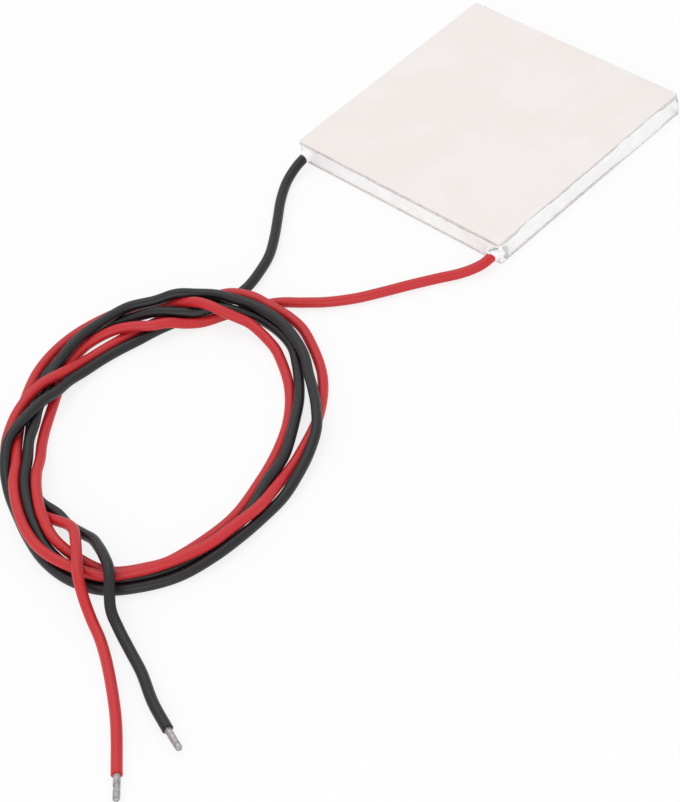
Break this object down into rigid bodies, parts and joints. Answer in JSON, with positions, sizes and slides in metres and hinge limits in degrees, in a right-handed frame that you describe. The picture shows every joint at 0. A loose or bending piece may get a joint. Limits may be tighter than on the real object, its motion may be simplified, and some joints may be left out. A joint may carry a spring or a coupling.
{
  "type": "thermoelectric cooling module",
  "caption": "Flat square thermoelectric cooling module: semiconductor legs and copper tabs in series between two ceramic plates, sealed at the edge, with a red and a black lead.",
  "frame": {"origin": "bottom centre of the hot plate, in the middle of its outer face", "axes": "+Z from the hot plate up to the cold plate; X along the side that both leads leave, +X towards the red lead; -Y is the side that the leads leave"},
  "size_m": [0.0696, 0.1388, 0.0037],
  "materials": {
    "ceramic": "dry matt alumina, unglazed",
    "silicone": "white silicone sealant, satin, wiped by hand",
    "copper": "bare copper strip, matt",
    "solder": "bright solder",
    "tinned_wire": "twisted copper strands dipped in solder, dull grey",
    "n_type": "n-type bismuth telluride, sawn, grey",
    "p_type": "p-type bismuth telluride, sawn, darker grey",
    "red_insulation": "soft red PVC, satin",
    "black_insulation": "soft black PVC, satin"
  },
  "bodies": {
    "root": {"hot_plate": "ceramic", "cold_plate": "ceramic", "edge_seal": "silicone", "red_terminal": "copper", "black_terminal": "copper", "red_solder": "solder", "black_solder": "solder", "red_conductor": "tinned_wire", "black_conductor": "tinned_wire", "red_collar": "silicone", "black_collar": "silicone", "red_lead": "red_insulation", "black_lead": "black_insulation", "red_tip": "tinned_wire", "black_tip": "tinned_wire", "lead_side_bridges": "copper", "far_side_bridges": "copper", "hot_tabs_01": "copper", "hot_tabs_02": "copper", "hot_tabs_03": "copper", "hot_tabs_04": "copper", "hot_tabs_05": "copper", "hot_tabs_06": "copper", "hot_tabs_07": "copper", "hot_tabs_08": "copper", "hot_tabs_09": "copper", "hot_tabs_10": "copper", "cold_tabs_01": "copper", "cold_tabs_02": "copper", "cold_tabs_03": "copper", "cold_tabs_04": "copper", "cold_tabs_05": "copper", "cold_tabs_06": "copper", "cold_tabs_07": "copper", "cold_tabs_08": "copper", "cold_tabs_09": "copper", "cold_tabs_10": "copper", "n_legs_01": "n_type", "n_legs_02": "n_type", "n_legs_03": "n_type", "n_legs_04": "n_type", "n_legs_05": "n_type", "n_legs_06": "n_type", "n_legs_07": "n_type", "n_legs_08": "n_type", "n_legs_09": "n_type", "n_legs_10": "n_type", "p_legs_01": "p_type", "p_legs_02": "p_type", "p_legs_03": "p_type", "p_legs_04": "p_type", "p_legs_05": "p_type", "p_legs_06": "p_type", "p_legs_07": "p_type", "p_legs_08": "p_type", "p_legs_09": "p_type", "p_legs_10": "p_type"}
  },
  "joints": []
}
